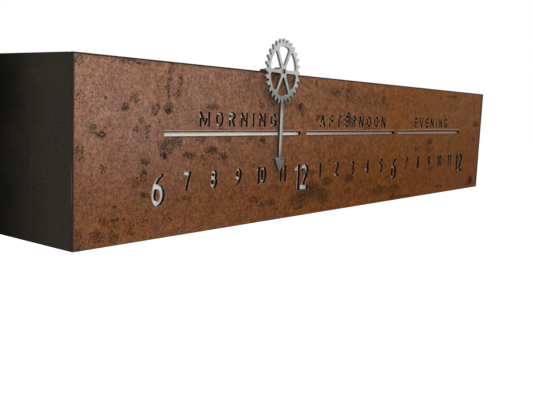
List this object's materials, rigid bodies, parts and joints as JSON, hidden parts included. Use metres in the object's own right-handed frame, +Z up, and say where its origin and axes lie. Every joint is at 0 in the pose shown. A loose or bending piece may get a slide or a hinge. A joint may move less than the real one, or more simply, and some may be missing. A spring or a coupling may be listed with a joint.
{
  "type": "linear clock",
  "caption": "Long wall clock: a toothed-wheel pointer rides over the top edge of a sheet-metal case along a straight dial, driven by a motor and lead screw inside.",
  "frame": {"origin": "centre of the wall-bolt pattern, on the outer plane of the back sheet", "axes": "+X along the case to the right seen from the front, +Y into the wall, +Z up"},
  "size_m": [1.0855, 0.2037, 0.2465],
  "materials": {
    "copper_face": "patinated copper sheet, mottled brown",
    "dark_steel": "near-black patinated steel, matt",
    "bright_steel": "bright brushed stainless steel",
    "pointer_steel": "brushed steel, waxed",
    "black_steel": "black oxide",
    "zinc_steel": "zinc plated",
    "ground_steel": "ground and polished",
    "milled_aluminium": "milled",
    "bronze": "turned bronze",
    "motor_black": "black enamel",
    "black_rubber": "matt",
    "black_plastic": "moulded",
    "green_board": "printed circuit board",
    "green_plastic": "moulded",
    "lead_sheath": "cable sheath",
    "nylon_white": "moulded"
  },
  "bodies": {
    "case": {"face_plate": "copper_face", "dial_counters": "copper_face", "backing_panel": "bright_steel", "side_panel_left": "dark_steel", "side_panel_right": "dark_steel", "top_panel": "dark_steel", "bottom_panel": "dark_steel", "back_panel": "dark_steel", "back_angles": "dark_steel", "face_straps": "zinc_steel", "face_strap_screws": "zinc_steel", "face_studs": "zinc_steel", "face_nuts": "zinc_steel", "back_screws": "black_steel", "end_plate_screws": "black_steel", "guide_rods": "ground_steel", "end_plate_left": "milled_aluminium", "end_plate_right": "milled_aluminium", "screw_bearing": "ground_steel", "bearing_retainer": "zinc_steel", "retainer_screws": "black_steel", "end_bumpers": "black_rubber", "motor_body": "motor_black", "motor_bolts": "black_steel", "travel_sensors": "black_plastic", "sensor_brackets": "zinc_steel", "sensor_screws": "black_steel", "bracket_screws": "black_steel", "control_board": "green_board", "board_parts": "black_plastic", "board_terminals": "green_plastic", "board_standoffs": "nylon_white", "board_screws": "zinc_steel", "button_barrels": "zinc_steel", "ring_nuts": "zinc_steel", "power_inlet": "black_plastic", "motor_lead": "lead_sheath", "power_lead": "lead_sheath", "button_leads": "lead_sheath", "lead_clips": "black_plastic"},
    "carriage": {"carriage_block": "milled_aluminium", "guide_bushes": "bronze", "lead_nut": "bronze", "nut_screws": "black_steel", "hanger_arm": "pointer_steel", "hanger_screws": "black_steel", "pointer_boss": "pointer_steel", "pointer": "pointer_steel", "hub_screw": "black_steel", "travel_flag": "zinc_steel", "flag_screws": "black_steel"},
    "screw": {"lead_screw": "ground_steel", "screw_coupler": "milled_aluminium", "motor_shaft": "ground_steel"},
    "button_forward": {"button_forward": "black_plastic"},
    "button_backward": {"button_backward": "black_plastic"}
  },
  "joints": [
    {"name": "pointer_travel", "type": "slide", "parent": "case", "child": "carriage", "axis": [1, 0, 0], "range_m": [-0.20382, 0.64938]},
    {"name": "screw_spin", "type": "hinge", "parent": "case", "child": "screw", "pos_m": [0, -0.115, 0.045], "axis": [1, 0, 0], "range_deg": [-23500, 7400]},
    {"name": "forward_press", "type": "slide", "parent": "case", "child": "button_forward", "axis": [-1, 0, 0], "range_m": [0, 0.002], "stiffness_N_per_m": 400},
    {"name": "backward_press", "type": "slide", "parent": "case", "child": "button_backward", "axis": [-1, 0, 0], "range_m": [0, 0.002], "stiffness_N_per_m": 400}
  ],
  "couplings": [
    {"joint": "screw_spin", "follows": "pointer_travel", "rad_per_m": -628.32}
  ]
}
